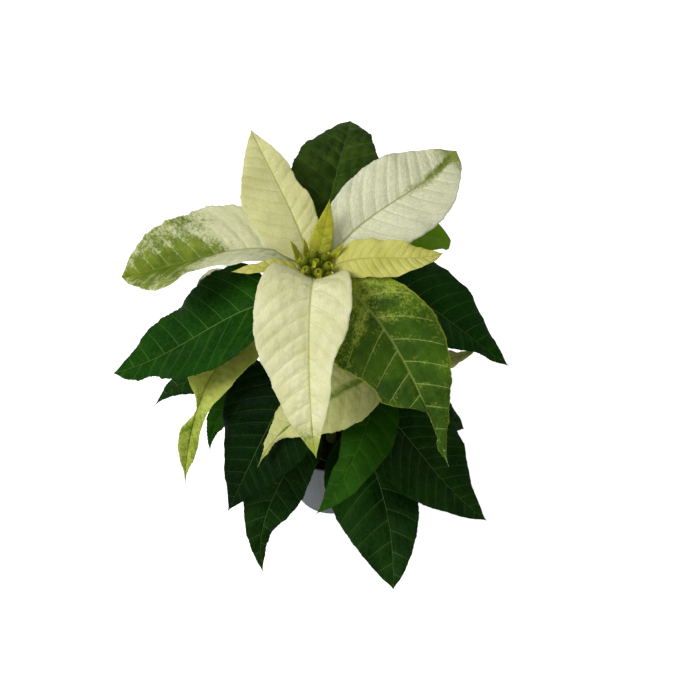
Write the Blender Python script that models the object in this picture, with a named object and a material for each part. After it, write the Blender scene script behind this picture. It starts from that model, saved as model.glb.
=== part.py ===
"""A white poinsettia in a 6 cm nursery pot, as solids for each piece that it is made of.

Metres, +Z up. The origin is the centre of the pot's flat base, -Y is the side that shows best.
Bearings are degrees from +X towards +Y, slopes are degrees above level.
"""

import math
from typing import NamedTuple

import bmesh
import bpy
import numpy as np
from mathutils import Matrix, Vector

# Pot: a plain tapered nursery pot
POT_TOP_RADIUS = 0.0300
POT_BASE_RADIUS = 0.0215
POT_HEIGHT = 0.0550
POT_WALL = 0.0010
POT_FLOOR = 0.0014
POT_EDGE = 0.0003
POT_SIDES = 48
DRAIN_HOLES = 6
DRAIN_RADIUS = 0.0022
DRAIN_CIRCLE = 0.0145

# Clearance that touching pieces keep
GAP = 0.0003

# Potting mix
SOIL_TOP = 0.0470
SOIL_BUMP = 0.0011
SOIL_RINGS = 8
SOIL_SIDES = 36

# Stem and its two side shoots
STEM_SIDES = 10
STEM_RINGS = 34
SHOOT_RINGS = 10
NODE_SWELL = 0.0004
NODE_SPREAD = 0.0018

# Blades
COLUMNS = 5
STALK_RINGS = 3
BLADE_RINGS = 12
LOBE_REACH = 0.17  # share of a blade's length over which a lobe fades
BLADE_THICK = 0.0007
RIB_THICK = 0.0012
TIP_HALF_WIDTH = 0.0004
CURVE_SAMPLES = 160

# Flowers: small green cups, each with one yellow gland, on a domed receptacle
CUP_SIDES = 8
CUP_TILT = 28
GLAND_RADIUS = 0.0010

FINISHES = {
    # name: (red, green, blue), roughness
    "pot_plastic": ((0.085, 0.095, 0.095), 0.42),
    "potting_mix": ((0.030, 0.018, 0.010), 0.95),
    "stem_green": ((0.110, 0.160, 0.030), 0.50),
    "flower_green": ((0.260, 0.340, 0.030), 0.45),
    "white": ((0.700, 0.720, 0.500), 0.50),
    "cream": ((0.720, 0.700, 0.380), 0.50),
    "yellow": ((0.600, 0.570, 0.170), 0.50),
    "lime": ((0.360, 0.400, 0.050), 0.50),
    "mottled": ((0.260, 0.310, 0.090), 0.50),
    "green": ((0.022, 0.060, 0.014), 0.42),
    "bright": ((0.050, 0.130, 0.010), 0.42),
    "dark": ((0.010, 0.035, 0.009), 0.42),
}


class Shoot(NamedTuple):
    """A stem: four control points of its centre line, and its radius at foot and top."""

    name: str
    points: tuple
    foot_radius: float
    top_radius: float
    rings: int


class Blade(NamedTuple):
    """A leaf or bract with its stalk, hung on a shoot by a curve from its node to its tip."""

    name: str
    finish: str
    shoot: str
    node: float  # height of the node on the shoot
    bearing: float  # way the stalk leaves the shoot
    rise: float  # slope of the stalk at the shoot
    tip: tuple
    heading: float  # way the tip points
    droop: float  # slope at the tip
    stalk: float  # length of the stalk
    width: float
    fold: float = 12.0  # slope of each half where it leaves the rib
    camber: float = 16.0  # how far that slope has fallen by the margin
    roll: float = 0.0  # bank, positive lowers the right side seen from the shoot
    twist: float = 0.0  # further bank gained by the tip
    broad: float = 0.55  # roundness of the base
    taper: float = 1.0  # above 1 the tip is drawn out
    uneven: float = 0.0  # share by which the right half is wider, and the left half narrower
    ears: float = 0.0  # how far the base's lobes reach back beyond the stalk's end
    wave: float = 0.0015
    lobes: tuple = ()  # (side, place from base to tip, size in widths)


SHOOTS = (
    Shoot(
        "main",
        ((0, 0, 0.036), (0.001, 0, 0.085), (-0.003, 0.002, 0.140), (-0.006, 0.003, 0.187)),
        0.0031,
        0.0026,
        STEM_RINGS,
    ),
    Shoot(
        "left",
        ((0, 0, 0.088), (-0.012, 0.003, 0.098), (-0.028, 0.008, 0.108), (-0.034, 0.011, 0.132)),
        0.0020,
        0.0017,
        SHOOT_RINGS,
    ),
    Shoot(
        "right",
        ((0, 0, 0.082), (0.010, -0.003, 0.092), (0.026, -0.008, 0.102), (0.030, -0.010, 0.128)),
        0.0020,
        0.0017,
        SHOOT_RINGS,
    ),
)

BLADES = (
    # Big bracts of the main head
    Blade(
        "bract_back_left", "cream", "main", 0.180, 112, 38, (-0.042, 0.082, 0.213),
        112, 10, 0.010, 0.0345, fold=16, roll=-13, broad=0.7, taper=1.1, uneven=-0.25, ears=0.003,
        lobes=(("left", 0.5, 0.05), ("right", 0.5, -0.07)),
    ),
    Blade(
        "bract_back_right", "white", "main", 0.179, 62, 40, (0.068, 0.073, 0.206),
        60, 5, 0.012, 0.049, roll=14, broad=0.75, taper=0.78, ears=0.004, lobes=(("right", 0.85, -0.04),),
    ),
    Blade(
        "bract_right", "yellow", "main", 0.186, 20, 28, (0.0588, 0.0032, 0.2013),
        22, 0, 0.006, 0.025, fold=18, roll=3, broad=0.62, taper=0.93, uneven=0.1, ears=0.003,
        lobes=(("left", 0.5, -0.04), ("right", 0.25, -0.03)),
    ),
    Blade(
        "bract_front", "white", "main", 0.184, 258, 64, (-0.006, -0.0856, 0.1446),
        284, -50, 0.009, 0.051, fold=22, roll=-1, twist=50, broad=0.36, uneven=0.12, ears=0.014,
        lobes=(("left", 0.25, 0.03), ("left", 0.5, -0.07)),
    ),
    Blade(
        "bract_front_right", "mottled", "main", 0.177, 322, 50, (0.0625, -0.0735, 0.1204),
        300, -52, 0.011, 0.054, roll=26, broad=1.1, taper=1.8, uneven=0.05, ears=0.006,
        lobes=(("right", 0.25, 0.08), ("right", 0.5, -0.09), ("right", 0.75, -0.26)),
    ),
    Blade(
        "bract_left", "white", "main", 0.174, 118, 30, (-0.1112, 0.019, 0.165),
        176, -16, 0.012, 0.052, fold=36, camber=10, twist=-16, broad=0.85, taper=0.74,
        lobes=(("left", 0.25, 0.04), ("left", 0.5, -0.09), ("left", 0.75, 0.11)),
    ),
    Blade(
        "bract_left_small", "yellow", "main", 0.185, 178, 42, (-0.050, -0.0046, 0.1957),
        184, -4, 0.005, 0.0095, wave=0.0008,
    ),
    Blade(
        "bract_top_small", "lime", "main", 0.185, 88, 34, (0.0005, 0.030, 0.2137),
        80, 58, 0.003, 0.0117, taper=1.2, wave=0.0005,
    ),
    # Small bracts close round the flowers
    Blade(
        "bractlet_1", "lime", "main", 0.185, 153, 15, (-0.020, 0.015, 0.198),
        145, 55, 0.003, 0.005, wave=0.0003,
    ),
    Blade(
        "bractlet_2", "lime", "main", 0.185, 130, 15, (-0.013, 0.016, 0.199),
        120, 65, 0.003, 0.004, wave=0.0003,
    ),
    Blade(
        "bractlet_3", "lime", "main", 0.185, 54, 22, (0.0075, 0.0125, 0.200),
        44, 62, 0.003, 0.0045, wave=0.0003,
    ),
    Blade(
        "bractlet_4", "lime", "main", 0.185, 338, 20, (0.0075, -0.0042, 0.1945),
        330, 65, 0.002, 0.006, wave=0.0002,
    ),
    # Leaves of the main stem, from the top down
    Blade(
        "leaf_left", "green", "main", 0.168, 196, 24, (-0.1183, -0.0074, 0.1155),
        179, -20, 0.022, 0.057, roll=-2, broad=0.4, taper=0.84, uneven=0.08,
        lobes=(
            ("left", 0.25, 0.04), ("left", 0.75, -0.08), ("right", 0.1, 0.07),
            ("right", 0.25, 0.03), ("right", 0.5, -0.03), ("right", 0.75, 0.05),
        ),
    ),
    Blade(
        "leaf_right", "green", "main", 0.171, 10, 21, (0.097, -0.010, 0.125),
        342, -32, 0.022, 0.0542, taper=1.18, uneven=-0.22, lobes=(("right", 0.75, -0.04),),
    ),
    Blade(
        "leaf_back", "green", "main", 0.170, 88, 36, (0.0112, 0.129, 0.1744),
        87, -26, 0.022, 0.048, roll=2, broad=0.57, taper=0.95, uneven=-0.04,
    ),
    Blade(
        "leaf_back_right", "bright", "main", 0.160, 56, 18, (0.0672, 0.064, 0.145),
        4, -30, 0.020, 0.036, roll=-10, taper=0.4, uneven=-0.04, lobes=(("right", 0.5, -0.14),),
    ),
    Blade(
        "leaf_front_left", "dark", "main", 0.128, 240, 24, (-0.056, -0.064, 0.065),
        226, -53, 0.022, 0.0585, broad=0.47, taper=1.2, uneven=0.02,
    ),
    Blade(
        "leaf_front_right", "dark", "main", 0.098, 330, 18, (0.086, -0.068, 0.062),
        335, -24, 0.024, 0.064, broad=0.46, taper=1.12,
    ),
    Blade(
        "leaf_front_left_low", "dark", "main", 0.086, 256, 10, (-0.0371, -0.0847, 0.0354),
        289, -45, 0.020, 0.0335, broad=0.61, taper=1.3, uneven=0.13,
        lobes=(("left", 0.25, -0.04), ("left", 0.5, 0.04), ("left", 0.75, -0.05)),
    ),
    Blade(
        "leaf_front_low", "dark", "main", 0.080, 303, 14, (0.0345, -0.1017, 0.0452),
        268, -41, 0.022, 0.0493, taper=0.92, uneven=0.21,
    ),
    Blade("leaf_right_low", "dark", "main", 0.075, 358, 24, (0.076, -0.004, 0.060), 350, -50, 0.020, 0.040),
    Blade(
        "leaf_left_low", "dark", "main", 0.080, 177, 18, (-0.1015, 0.0107, 0.0621),
        222, -36, 0.022, 0.0305, taper=1.3,
    ),
    Blade(
        "leaf_left_small", "bright", "left", 0.106, 210, 10, (-0.0671, -0.0272, 0.0702),
        275, -60, 0.014, 0.0215, taper=1.5,
    ),
    Blade(
        "leaf_front_bright", "bright", "right", 0.114, 266, 26, (-0.007, -0.084, 0.092),
        211, -37, 0.010, 0.029, roll=2, broad=0.62, taper=1.1, uneven=-0.2, lobes=(("right", 0.55, -0.05),),
    ),
    # Leaves behind, which the front hides
    Blade(
        "leaf_behind_low", "dark", "main", 0.074, 104, 16, (-0.022, 0.086, 0.062),
        104, -40, 0.022, 0.050,
    ),
    Blade(
        "leaf_behind_left", "dark", "main", 0.120, 118, 20, (-0.044, 0.074, 0.094),
        118, -40, 0.022, 0.044,
    ),
    Blade("leaf_behind_right", "dark", "main", 0.110, 62, 18, (0.040, 0.075, 0.088), 62, -40, 0.022, 0.050),
    # Bracts of the side heads
    Blade(
        "side_bract_left", "mottled", "left", 0.128, 200, 17, (-0.079, -0.054, 0.075),
        236, -85, 0.008, 0.040, fold=50, camber=20, roll=-20, broad=0.42, taper=1.8, uneven=-0.1,
        lobes=(("left", 0.5, -0.08), ("right", 0.5, -0.26), ("left", 0.75, 0.07), ("right", 0.75, 0.04)),
    ),
    Blade(
        "side_bract_back", "white", "left", 0.127, 150, 22, (-0.0737, 0.0352, 0.139),
        196, -16, 0.008, 0.034, taper=0.8,
    ),
    Blade(
        "side_bract_front", "cream", "right", 0.124, 239, 31, (-0.0384, -0.0591, 0.0999),
        230, -57, 0.008, 0.045, roll=-8, broad=0.73, taper=2, uneven=0.09, lobes=(("left", 0.75, -0.07),),
    ),
    Blade(
        "side_bract_right", "cream", "right", 0.125, 6, 16, (0.079, -0.0023, 0.130),
        30, 14, 0.008, 0.0135,
    ),
)


def direction(bearing, slope):
    """Unit vector that points along a bearing and a slope."""
    b, s = math.radians(bearing), math.radians(slope)
    return np.array([math.cos(b) * math.cos(s), math.sin(b) * math.cos(s), math.sin(s)])


def unit(vectors):
    return vectors / np.linalg.norm(vectors, axis=-1, keepdims=True)


def cubic(points, t):
    """Points of the cubic curve with four control points, at the parameters t."""
    t = np.asarray(t, float)[:, None]
    a, b, c, d = (np.asarray(p, float) for p in points)
    return a * (1 - t) ** 3 + 3 * b * t * (1 - t) ** 2 + 3 * c * t**2 * (1 - t) + d * t**3


def shoot_at(shoot, height):
    """Centre and radius of a shoot where it passes a height."""
    share = np.linspace(0, 1, CURVE_SAMPLES)
    line = cubic(shoot.points, share)
    here = np.interp(height, line[:, 2], share)
    return cubic(shoot.points, [here])[0], shoot.foot_radius + (shoot.top_radius - shoot.foot_radius) * here


def stalk_radius(blade):
    """Wider blades have stouter stalks."""
    return 0.0006 + 0.008 * blade.width


def blade_line(blade):
    """Stalk and rib as one even curve: its points, its length up to each, its tangents and its bearings."""
    shoot = next(s for s in SHOOTS if s.name == blade.shoot)
    centre, radius = shoot_at(shoot, blade.node)
    lean = stalk_radius(blade) * math.sin(math.radians(abs(blade.rise)))
    start = centre + direction(blade.bearing, 0) * (radius + NODE_SWELL + GAP + lean)
    tip = np.array(blade.tip)
    handle = np.linalg.norm(tip - start) * 0.38
    leave = start + direction(blade.bearing, blade.rise) * handle
    arrive = tip - direction(blade.heading, blade.droop) * handle
    line = cubic((start, leave, arrive, tip), np.linspace(0, 1, CURVE_SAMPLES))
    along = np.concatenate([[0], np.cumsum(np.linalg.norm(np.diff(line, axis=0), axis=1))])
    turn = (blade.heading - blade.bearing + 180) % 360 - 180
    tangent = unit(np.gradient(line, along, axis=0))
    return line, along, tangent, np.radians(blade.bearing + turn * along / along[-1])


def half_width(blade, u, side):
    """Width of one half at the shares u of the blade's length.

    The outline is u^broad (1-u)^taper, scaled to its peak, with a smooth hump at each lobe.
    """
    peak = blade.broad / (blade.broad + blade.taper)
    top = peak**blade.broad * (1 - peak) ** blade.taper
    growth = 1 + blade.uneven if side == "right" else 1 - blade.uneven
    wide = blade.width / 2 * growth * u**blade.broad * (1 - u) ** blade.taper / top
    for where, place, size in blade.lobes:
        if where == side:
            hump = np.cos(np.clip((u - place) / LOBE_REACH, -1, 1) * math.pi / 2) ** 2
            wide = wide + blade.width * size * hump
    return np.maximum(wide, TIP_HALF_WIDTH)


def blade_rings(blade):
    """Closed cross-sections from the stalk's foot to the tip, as an array of rings by points by xyz.

    A ring has its top points from left to right, then its bottom points from right to left. Each half of
    the section is an arc whose slope is the fold at the rib and the fold less the camber at the margin.
    """
    line, along, tangent, bearing = blade_line(blade)
    span = along[-1] - blade.stalk
    stalk_places = np.linspace(0, 0.85, STALK_RINGS) * blade.stalk
    places = np.concatenate([stalk_places, blade.stalk + np.linspace(0, 1, BLADE_RINGS + 1) * span])
    u = np.clip((places - blade.stalk) / span, 0, 1)
    centre = np.stack([np.interp(places, along, line[:, k]) for k in range(3)], 1)
    forward = unit(np.stack([np.interp(places, along, tangent[:, k]) for k in range(3)], 1))
    way = np.interp(places, along, bearing)
    across = np.stack([np.sin(way), -np.cos(way), np.zeros_like(way)], 1)
    across = unit(across - forward * np.sum(across * forward, 1)[:, None])
    normal = np.cross(across, forward)
    bank = np.radians(blade.roll + blade.twist * u) * np.clip(places / blade.stalk, 0, 1)
    cos, sin = np.cos(bank)[:, None], np.sin(bank)[:, None]
    across, normal = across * cos - normal * sin, normal * cos + across * sin

    v = np.linspace(-1, 1, COLUMNS)
    share, side = np.abs(v), np.sign(v)
    wide = np.where(v < 0, half_width(blade, u, "left")[:, None], half_width(blade, u, "right")[:, None])
    fold, camber = math.radians(blade.fold), math.radians(blade.camber)
    sideways = wide * (math.sin(fold) - np.sin(fold - camber * share)) / camber
    upward = wide * (np.cos(fold - camber * share) - math.cos(fold)) / camber
    ripple = np.sin(2 * math.pi * (2.5 * u[:, None] + 0.25 * side)) * np.sin(math.pi * u[:, None])
    upward = upward + blade.wave * share**2 * ripple
    half_thick = 0.5 * (BLADE_THICK + (RIB_THICK - BLADE_THICK) * (1 - share) ** 2 * (1 - u[:, None]))
    top = np.stack([sideways * side, upward + half_thick], -1)
    bottom = np.stack([sideways * side, upward - half_thick], -1)

    angle = math.pi * (1 - (np.arange(COLUMNS) + 0.5) / COLUMNS)
    round_top = stalk_radius(blade) * np.stack([np.cos(angle), np.sin(angle)], -1)
    flat = np.clip(u * BLADE_RINGS / 1.5, 0, 1)[:, None, None]
    top = round_top * (1 - flat) + top * flat
    bottom = round_top * [1, -1] * (1 - flat) + bottom * flat
    section = np.concatenate([top, bottom[:, ::-1]], 1)
    reach = np.concatenate([share, share[::-1]]) ** 2
    back = blade.ears * reach * np.clip(1 - u[:, None] / 0.4, 0, 1) ** 2 * flat[..., 0]
    spots = centre[:, None] - forward[:, None] * back[..., None]
    return spots + section[..., :1] * across[:, None] + section[..., 1:] * normal[:, None]


def blade_faces(rings):
    """Triangles that join the rings and close both ends. Both faces of the blade are split alike."""
    around = 2 * COLUMNS
    faces = []
    for i in range(rings - 1):
        for j in range(around):
            a, b = i * around + j, i * around + (j + 1) % around
            c, d = b + around, a + around
            faces += [(a, b, c), (a, c, d)] if j < COLUMNS - 1 else [(a, b, d), (b, c, d)]
    last = (rings - 1) * around
    for j in range(COLUMNS - 1):
        k = around - 2 - j
        faces += [(j, k, j + 1), (j, k + 1, k)]
        faces += [(last + j, last + j + 1, last + k), (last + j, last + k, last + k + 1)]
    return faces


def new_object(name, vertices, faces, finish, smooth_angle=40):
    """Object with a mesh from points and faces, its normals made to point out, smooth up to an angle."""
    mesh = bpy.data.meshes.new(name)
    mesh.from_pydata([tuple(v) for v in vertices], [], faces)
    shell = bmesh.new()
    shell.from_mesh(mesh)
    bmesh.ops.recalc_face_normals(shell, faces=shell.faces)
    shell.to_mesh(mesh)
    shell.free()
    mesh.shade_smooth()
    mesh.set_sharp_from_angle(angle=math.radians(smooth_angle))
    mesh.materials.append(material(finish))
    obj = bpy.data.objects.new(name, mesh)
    bpy.context.collection.objects.link(obj)
    return obj


def material(name):
    """Principled material of a finish, made once."""
    if name in bpy.data.materials:
        return bpy.data.materials[name]
    colour, roughness = FINISHES[name]
    made = bpy.data.materials.new(name)
    made.use_nodes = True
    shader = made.node_tree.nodes["Principled BSDF"]
    shader.inputs["Base Color"].default_value = (*colour, 1)
    shader.inputs["Roughness"].default_value = roughness
    shader.inputs["Metallic"].default_value = 0
    made.diffuse_color = (*colour, 1)
    return made


def turned(profile, sides, lift=None):
    """Solid of revolution of a profile of (radius, height) that starts and ends on the axis.

    lift, if given, is a function of a ring's number and its points' x and y that is added to their heights.
    """
    angle = 2 * math.pi * np.arange(sides) / sides
    vertices = [(0, 0, profile[0][1])]
    for number, (radius, height) in enumerate(profile[1:-1], 1):
        x, y = radius * np.cos(angle), radius * np.sin(angle)
        z = np.full(sides, height) + (lift(number, x, y) if lift else 0)
        vertices += list(zip(x, y, z))
    vertices.append((0, 0, profile[-1][1]))
    rings = len(profile) - 2
    end = len(vertices) - 1
    faces = []
    for j in range(sides):
        k = (j + 1) % sides
        faces.append((0, 1 + j, 1 + k))
        faces.append((end, 1 + (rings - 1) * sides + j, 1 + (rings - 1) * sides + k))
        for i in range(rings - 1):
            a, b = 1 + i * sides + j, 1 + i * sides + k
            faces += [(a, b, b + sides), (a, b + sides, a + sides)]
    return vertices, faces


def union(name, objects):
    """One object made of overlapping ones by a Boolean union, which is applied."""
    first, *rest = objects
    group = bpy.data.collections.new(name + "_parts")
    for obj in rest:
        group.objects.link(obj)
    joined = first.modifiers.new("union", "BOOLEAN")
    joined.operation = "UNION"
    joined.solver = "EXACT"
    joined.operand_type = "COLLECTION"
    joined.collection = group
    fused = bpy.data.meshes.new_from_object(first.evaluated_get(bpy.context.evaluated_depsgraph_get()))
    first.modifiers.clear()
    first.data = fused
    first.name = name
    fused.name = name
    for obj in rest:
        bpy.data.objects.remove(obj)
    bpy.data.collections.remove(group)
    return first


def wall_radius(height):
    """Outer radius of the pot at a height."""
    return POT_BASE_RADIUS + (POT_TOP_RADIUS - POT_BASE_RADIUS) * height / POT_HEIGHT


def build_pot():
    """Tapered cup with a flat base and a ring of drain holes, which are cut through its floor."""
    inner_floor = wall_radius(POT_FLOOR) - POT_WALL
    profile = (
        (0, 0),
        (POT_BASE_RADIUS - POT_EDGE, 0),
        (wall_radius(POT_EDGE), POT_EDGE),
        (POT_TOP_RADIUS, POT_HEIGHT - POT_EDGE),
        (POT_TOP_RADIUS - POT_EDGE, POT_HEIGHT),
        (POT_TOP_RADIUS - POT_WALL + POT_EDGE, POT_HEIGHT),
        (POT_TOP_RADIUS - POT_WALL, POT_HEIGHT - POT_EDGE),
        (inner_floor, POT_FLOOR),
        (0, POT_FLOOR),
    )
    pot = new_object("pot", *turned(profile, POT_SIDES), "pot_plastic")
    for i in range(DRAIN_HOLES):
        angle = 2 * math.pi * (i + 0.55) / DRAIN_HOLES
        bpy.ops.mesh.primitive_cylinder_add(
            vertices=12,
            radius=DRAIN_RADIUS,
            depth=0.006,
            location=(DRAIN_CIRCLE * math.cos(angle), DRAIN_CIRCLE * math.sin(angle), 0),
        )
        cutter = bpy.context.object
        cutter.name = f"drain_cutter_{i + 1}"
        cutter.hide_render = True
        cutter.display_type = "WIRE"
        cut = pot.modifiers.new(cutter.name, "BOOLEAN")
        cut.operation = "DIFFERENCE"
        cut.solver = "EXACT"
        cut.object = cutter


def build_soil():
    """Potting mix that fills the pot, lumpy on top, with a plain hole for the stem."""
    main = SHOOTS[0]
    low = POT_FLOOR + GAP
    fill = POT_WALL + GAP
    hole_floor = main.points[0][2] - GAP
    hole = main.foot_radius + NODE_SWELL + GAP
    outer = wall_radius(SOIL_TOP - SOIL_BUMP) - fill - 0.0001
    profile = [(0, low), (wall_radius(low) - fill, low)]
    profile += [(outer - (outer - hole) * i / (SOIL_RINGS - 1), SOIL_TOP) for i in range(SOIL_RINGS)]
    profile += [(hole, hole_floor), (0, hole_floor)]

    def lumps(number, x, y):
        if not 2 <= number < 2 + SOIL_RINGS:
            return 0
        waves = np.sin(610 * x + 1.3) * np.sin(540 * y - 0.4) + 0.6 * np.sin(1150 * x - 930 * y)
        return SOIL_BUMP * waves / 1.6 - (0.001 if number == 2 else 0)

    new_object("soil", *turned(profile, SOIL_SIDES, lumps), "potting_mix")


def tube(name, shoot):
    """Round stem along a shoot's curve, a little thicker at each leaf's node."""
    share = np.linspace(0, 1, shoot.rings + 1)
    line = cubic(shoot.points, share)
    forward = unit(np.gradient(line, axis=0))
    across = unit(np.cross(forward, [0, 1, 0]))
    other = np.cross(forward, across)
    radius = shoot.foot_radius + (shoot.top_radius - shoot.foot_radius) * share
    nodes = [b.node for b in BLADES if b.shoot == shoot.name]
    swell = sum(np.exp(-(((line[:, 2] - node) / NODE_SPREAD) ** 2)) for node in nodes)
    radius = radius + NODE_SWELL * np.minimum(swell, 1)
    angle = 2 * math.pi * np.arange(STEM_SIDES) / STEM_SIDES
    vertices = []
    for centre, side, up, r in zip(line, across, other, radius):
        vertices += [centre + r * (math.cos(a) * side + math.sin(a) * up) for a in angle]
    last = shoot.rings * STEM_SIDES
    faces = [tuple(range(STEM_SIDES)), tuple(last + j for j in reversed(range(STEM_SIDES)))]
    for i in range(shoot.rings):
        for j in range(STEM_SIDES):
            a, b = i * STEM_SIDES + j, i * STEM_SIDES + (j + 1) % STEM_SIDES
            faces.append((a, a + STEM_SIDES, b + STEM_SIDES, b))
    return new_object(name, vertices, faces, "stem_green")


def build_stem():
    union("stem", [tube("stem_" + shoot.name, shoot) for shoot in SHOOTS])


def build_blades():
    for blade in BLADES:
        rings = blade_rings(blade)
        new_object(blade.name, rings.reshape(-1, 3), blade_faces(len(rings)), blade.finish)


def head_frame(shoot):
    """Matrix that stands a flower head on the end of a shoot, a gap above it, with +Z along the shoot."""
    top, before = (Vector(shoot.points[k]) for k in (3, 2))
    along = (top - before).normalized()
    return Matrix.Translation(top + along * GAP) @ along.to_track_quat("Z", "Y").to_matrix().to_4x4()


def placed(obj, matrix):
    obj.data.transform(matrix)
    return obj


def flower_cup(frame, size, spread, bearing, tilt):
    """An urn on a short stalk, which leans outwards, with a gland on its outer side near the rim."""
    profile = (
        (0, -0.0030),
        (0.0008, -0.0030),
        (0.0009, -0.0002),
        (0.0019, 0.0009),
        (0.0024, 0.0026),
        (0.0020, 0.0042),
        (0.0012, 0.0049),
        (0, 0.0046),
    )
    profile = [(radius * size, height * size) for radius, height in profile]
    seat = Matrix.Rotation(math.radians(bearing), 4, "Z") @ Matrix.Translation((spread, 0, 0.0038 * size))
    seat = frame @ seat @ Matrix.Rotation(math.radians(tilt), 4, "Y")
    cup = placed(new_object("cup", *turned(profile, CUP_SIDES), "flower_green"), seat)
    ball = bmesh.new()
    bmesh.ops.create_icosphere(ball, subdivisions=1, radius=GLAND_RADIUS * size)
    mesh = bpy.data.meshes.new("gland")
    ball.to_mesh(mesh)
    ball.free()
    gland = bpy.data.objects.new("gland", mesh)
    bpy.context.collection.objects.link(gland)
    return [cup, placed(gland, seat @ Matrix.Translation((0.0019 * size, 0, 0.0037 * size)))]


def build_flowers(name, shoot, size, cups, spread):
    """Head of flowers on a shoot: a low dome, one cup in the middle and a ring of leaning cups."""
    frame = head_frame(shoot)
    dome = ((0, 0), (0.0023, 0), (0.0041, 0.0009), (0.0047, 0.0020), (0.0034, 0.0032), (0, 0.0037))
    dome = [(radius * size, height * size) for radius, height in dome]
    pieces = [placed(new_object("dome", *turned(dome, 12), "flower_green"), frame)]
    pieces += flower_cup(frame, size, 0, 0, 0)
    for i in range(cups):
        pieces += flower_cup(frame, size, spread, 360 * (i + 0.5) / cups, CUP_TILT)
    union(name, pieces)


def main():
    for obj in list(bpy.data.objects):
        bpy.data.objects.remove(obj)
    build_pot()
    build_soil()
    build_stem()
    main_shoot, left_shoot, right_shoot = SHOOTS
    build_flowers("flowers", main_shoot, 1.0, 6, 0.0052)
    build_flowers("flowers_left", left_shoot, 0.7, 4, 0.0032)
    build_flowers("flowers_right", right_shoot, 0.7, 4, 0.0032)
    build_blades()


main()
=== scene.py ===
"""Looks of a white poinsettia in its 6 cm nursery pot.

Metres, +Z up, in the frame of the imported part: the origin is the centre of the pot's base and -Y is the side
that shows best. Bearings are degrees from +X towards +Y, slopes are degrees above level.
"""

import math
from typing import NamedTuple

import bpy
import numpy as np
from mathutils import Matrix, Vector


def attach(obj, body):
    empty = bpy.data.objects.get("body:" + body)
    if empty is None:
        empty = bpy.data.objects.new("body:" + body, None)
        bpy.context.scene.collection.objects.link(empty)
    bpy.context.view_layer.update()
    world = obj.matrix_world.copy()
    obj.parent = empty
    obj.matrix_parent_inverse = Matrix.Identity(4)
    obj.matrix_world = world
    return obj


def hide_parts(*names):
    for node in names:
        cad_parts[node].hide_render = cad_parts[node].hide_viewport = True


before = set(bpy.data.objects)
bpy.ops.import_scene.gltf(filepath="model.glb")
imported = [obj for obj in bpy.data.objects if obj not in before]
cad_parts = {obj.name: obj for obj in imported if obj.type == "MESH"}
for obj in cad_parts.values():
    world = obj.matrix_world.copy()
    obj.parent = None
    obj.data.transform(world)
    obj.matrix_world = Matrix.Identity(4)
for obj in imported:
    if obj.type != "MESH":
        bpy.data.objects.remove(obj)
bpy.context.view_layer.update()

TURN = 2 * math.pi
POINT = 1e-6  # radius of a closed end

# Camera: the photograph looks steeply down on the plant from its front
CAMERA_PLACE = (0.011, -0.6309, 0.901)
CAMERA_DOWN = 50.83
CAMERA_LENS = 94.47
SENSOR = 36.0

# Sizes that the part's source also has
GAP = 0.0003
NODE_SWELL = 0.0004
NODE_SPREAD = 0.0018
CURVE_SAMPLES = 160
HANDLE = 0.38
LOBE_REACH = 0.17
CUP_TILT = 28
SOIL_TOP = 0.047
SOIL_RADIUS = 0.0273
STEM_HOLE = 0.0038

# Fineness of the new surfaces. A blade narrower than SMALL_BLADE takes the coarser ones
STATIONS = 132
COLUMNS = 37
RIB_STATIONS = 60
SMALL_BLADE = 0.012
SMALL_STATIONS = 44
SMALL_COLUMNS = 15
SMALL_RIB_STATIONS = 24
STALK_STATIONS = 16
RIB_SIDES = 10
STEM_SIDES = 28
FLOWER_SIDES = 40
SCALE_ROWS = 20
SCALE_COLUMNS = 13

# Blades: thickness at the middle and the margin, share of the length over which the tip is drawn out, place
# of a tooth's peak between two veins, lengths of the puckers and creases, and depth of the stalk's foot
BLADE_THICK = 0.00045
MARGIN_THICK = 0.00016
DRAWN_TIP = 0.06
TOOTH_PEAK = 0.7
PUCKER = 0.0058
CREASE = 0.011
STALK_SUNK = 0.0009

# Side veins that fit across the UV map of the veins
VEIN_MAP = 16

# A full-size flower: profiles as (radius, height), its seat above the head's foot, and its gland's place as
# (distance, height) and tilt
URN = (
    (0, -0.003), (0.0008, -0.003), (0.0009, -0.0004), (0.0019, 0.0008), (0.0025, 0.0024),
    (0.0022, 0.0039), (0.0015, 0.0047), (0.001, 0.0047), (0.0007, 0.0041), (0, 0.0038),
)
GLAND = ((0, -0.0008), (0.0009, -0.0007), (0.0014, 0.0001), (0.0012, 0.0008), (0.0006, 0.0004), (0, 0.0001))
DOME = ((0, 0), (0.0023, 0), (0.0041, 0.0009), (0.0047, 0.002), (0.0034, 0.0032), (0, 0.0037))
CUP_SEAT = 0.0038
GLAND_PLACE = (0.0021, 0.0038)
GLAND_TILT = 52

# Turn of the scales against the cups
SCALE_TURN = 13

# Peat: height and radius of its foot, and the floor of the stem's hole
PEAT_FOOT = 0.0017
PEAT_FOOT_RADIUS = 0.0208
HOLE_FLOOR = 0.0357

# What lies on the peat: crumbs of bark, and a twig along four control points
CRUMBS = 420
TWIG = (
    (-0.0145, -0.0128, 0.0486), (-0.009, -0.0142, 0.0492),
    (-0.005, -0.0185, 0.0488), (0.0015, -0.0187, 0.0484),
)

# Light from all sides, the floor's glow, and the lamps as (name, place, size, power)
WORLD_LIGHT = 0.34
FLOOR_GLOW = 0.8
LAMP_AIM = (0, 0, 0.12)
LAMPS = (
    ("top_lamp", (-0.72, -0.2, 0.95), 0.5, 8.2),
    ("front_lamp", (-0.2, -1.15, 0.8), 0.8, 2.6),
)


class Shoot(NamedTuple):
    """A stem: four control points of its centre line, its radius at foot and top, and its rings."""

    name: str
    points: tuple
    foot_radius: float
    top_radius: float
    stations: int


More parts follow.
